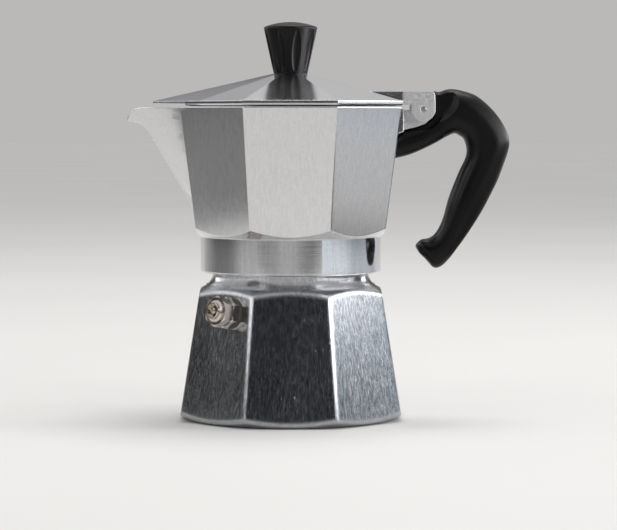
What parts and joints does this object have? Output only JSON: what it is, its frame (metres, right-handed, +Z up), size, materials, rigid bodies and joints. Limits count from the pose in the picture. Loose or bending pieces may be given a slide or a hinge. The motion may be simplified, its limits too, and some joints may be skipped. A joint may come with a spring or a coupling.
{
  "type": "moka pot",
  "caption": "Octagonal stovetop moka pot: threaded boiler and collector with V spout, hinged lid with fluted knob, hooked black handle, coffee funnel, filter, gasket and safety valve.",
  "frame": {"origin": "centre of the boiler's flat underside, on the pot's axis", "axes": "Z up along the pot's axis, -X toward the spout, +X toward the handle, -Y toward the front facet"},
  "size_m": [0.1593, 0.0922, 0.165],
  "materials": {
    "boiler_metal": "polished cast aluminium, fine upright grain on the facets",
    "collector_metal": "polished cast aluminium, turned band",
    "lid_metal": "polished cast aluminium",
    "column_metal": "plain cast aluminium",
    "funnel_metal": "drawn aluminium sheet",
    "sheet_metal": "punched aluminium sheet",
    "valve_metal": "nickel-plated brass, turned",
    "valve_pin": "turned brass",
    "brass": "turned brass",
    "steel": "plain steel",
    "valve_washer": "dark fibre and rubber washer",
    "seal_rubber": "black rubber",
    "gasket_rubber": "off-white rubber",
    "knob_plastic": "black satin plastic",
    "handle_plastic": "black satin plastic"
  },
  "bodies": {
    "boiler": {"boiler": "boiler_metal", "valve_washer": "valve_washer", "valve_body": "valve_metal", "valve_bonnet": "valve_metal", "valve_spring": "steel"},
    "poppet": {"valve_plunger": "valve_pin", "valve_seal": "seal_rubber"},
    "funnel": {"funnel_cup": "funnel_metal", "funnel_stem": "funnel_metal", "funnel_strainer": "sheet_metal"},
    "seal": {"gasket": "gasket_rubber", "filter_plate": "sheet_metal"},
    "collector": {"collector": "collector_metal", "column": "column_metal", "handle": "handle_plastic", "hinge_pin": "steel"},
    "lid": {"lid": "lid_metal", "knob": "knob_plastic", "knob_insert": "brass", "knob_screw": "steel", "knob_washer": "steel"}
  },
  "joints": [
    {"name": "collector_rise", "type": "slide", "parent": "boiler", "child": "seal", "axis": [0, 0, 1], "range_m": [0, 0.0091]},
    {"name": "collector_turn", "type": "hinge", "parent": "seal", "child": "collector", "pos_m": [0, 0, 0.0685], "axis": [0, 0, 1], "range_deg": [0, 1080]},
    {"name": "funnel_lift", "type": "slide", "parent": "boiler", "child": "funnel", "axis": [0, 0, 1], "range_m": [0, 0.0046]},
    {"name": "lid_hinge", "type": "hinge", "parent": "collector", "child": "lid", "pos_m": [0.055, 0, 0.1287], "axis": [0, 1, 0], "range_deg": [0, 95]},
    {"name": "valve_poppet", "type": "slide", "parent": "boiler", "child": "poppet", "axis": [-0.6985, -0.6985, 0.1556], "range_m": [0, 0.0015], "stiffness_N_per_m": 3000, "springref_m": -0.0013, "deforming": ["valve_spring"]}
  ],
  "couplings": [
    {"joint": "collector_rise", "follows": "collector_turn", "m_per_rad": 0.00047746},
    {"joint": "funnel_lift", "follows": "collector_turn", "m_per_rad": 0.00023873}
  ]
}
